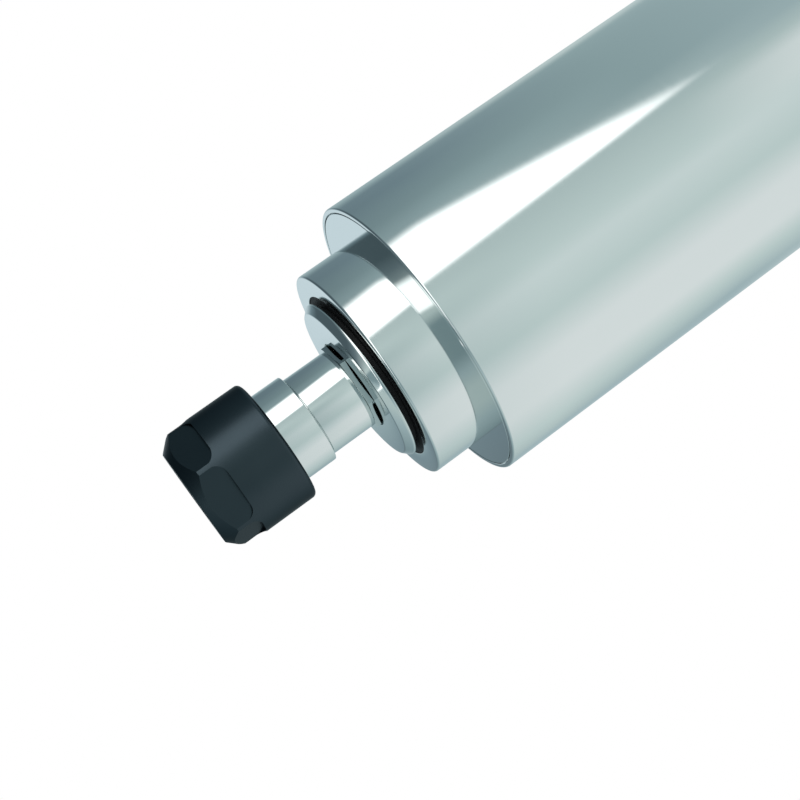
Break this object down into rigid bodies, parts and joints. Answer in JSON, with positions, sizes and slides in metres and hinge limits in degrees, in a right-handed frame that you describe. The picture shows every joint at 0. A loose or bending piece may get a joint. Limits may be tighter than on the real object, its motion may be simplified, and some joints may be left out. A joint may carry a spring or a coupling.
{
  "type": "motor spindle",
  "caption": "Round water-cooled motor spindle with a polished body, stepped collar, turning shaft, and a black nut that closes a slit collet.",
  "frame": {"origin": "on the spindle axis, where the 80 mm clamping cylinder begins behind the rounded front rim", "axes": "+Z along the spindle axis towards the rear; the nose and collet point to -Z; the connector is on the +Y side"},
  "size_m": [0.08, 0.08, 0.3035],
  "materials": {
    "polished_stainless": "mirror polished",
    "ground_steel": "ground and polished",
    "turned_stainless": "fine turned",
    "black_oxide_steel": "satin black oxide",
    "black_oxide_screw": "black oxide",
    "black_rubber": "matte",
    "turned_aluminium": "turned",
    "cast_aluminium": "cast",
    "nickel_plated_brass": "nickel plated",
    "fibre_washer": "pressed fibre",
    "black_insulator": "moulded",
    "gold_plated_pin": "gold plated",
    "lamination_steel": "stacked sheets",
    "enamelled_copper": "enamelled wire",
    "bearing_steel": "ground",
    "phenolic_cage": "machined",
    "turned_steel": "turned"
  },
  "bodies": {
    "housing": {"outer_jacket": "polished_stainless", "front_housing": "polished_stainless", "cooling_cylinder": "turned_aluminium", "liner_o_rings": "black_rubber", "front_outer_rings": "bearing_steel", "front_outer_spacer": "bearing_steel", "front_retainer": "turned_steel", "front_retainer_screws": "black_oxide_screw", "stator_core": "lamination_steel", "stator_windings": "enamelled_copper", "rear_housing": "turned_aluminium", "rear_outer_rings": "bearing_steel", "rear_outer_spacer": "bearing_steel", "preload_spring": "turned_steel", "rear_cover": "turned_steel", "rear_cover_screws": "black_oxide_screw", "rear_cap": "turned_stainless", "rear_cap_o_ring": "black_rubber", "rear_cap_screws": "black_oxide_screw", "connector_shell": "nickel_plated_brass", "connector_insert": "black_insulator", "connector_pins": "gold_plated_pin", "connector_nut": "nickel_plated_brass", "water_inlet": "nickel_plated_brass", "water_outlet": "nickel_plated_brass", "nipple_washers": "fibre_washer"},
    "spindle": {"shaft": "ground_steel", "slinger_nut": "polished_stainless", "v_ring": "black_rubber", "front_inner_rings": "bearing_steel", "front_inner_spacer": "bearing_steel", "rotor_core": "lamination_steel", "rotor_cage": "cast_aluminium", "balance_rings": "turned_steel", "rear_inner_rings": "bearing_steel", "rear_inner_spacer": "bearing_steel", "rear_locknut": "turned_steel"},
    "front_ball_sets": {"front_balls": "bearing_steel", "front_cages": "phenolic_cage"},
    "rear_ball_sets": {"rear_balls": "bearing_steel", "rear_cages": "phenolic_cage"},
    "collet": {"collet": "ground_steel"},
    "clamping_nut": {"clamping_nut": "black_oxide_steel"}
  },
  "joints": [
    {"name": "spindle_spin", "type": "hinge", "parent": "housing", "child": "spindle", "pos_m": [0, 0, 0], "axis": [0, 0, 1], "continuous": true},
    {"name": "front_balls_spin", "type": "hinge", "parent": "housing", "child": "front_ball_sets", "pos_m": [0, 0, 0.006], "axis": [0, 0, 1], "continuous": true},
    {"name": "rear_balls_spin", "type": "hinge", "parent": "housing", "child": "rear_ball_sets", "pos_m": [0, 0, 0.1768], "axis": [0, 0, 1], "continuous": true},
    {"name": "nut_turn", "type": "hinge", "parent": "collet", "child": "clamping_nut", "pos_m": [0, 0, -0.056], "axis": [0, 0, -1], "range_deg": [0, 2340]},
    {"name": "collet_slide", "type": "slide", "parent": "spindle", "child": "collet", "axis": [0, 0, -1], "range_m": [0, 0.00975]}
  ],
  "couplings": [
    {"joint": "front_balls_spin", "follows": "spindle_spin", "ratio": 0.4129},
    {"joint": "rear_balls_spin", "follows": "spindle_spin", "ratio": 0.3969},
    {"joint": "nut_turn", "follows": "collet_slide", "rad_per_m": 4188.8}
  ]
}
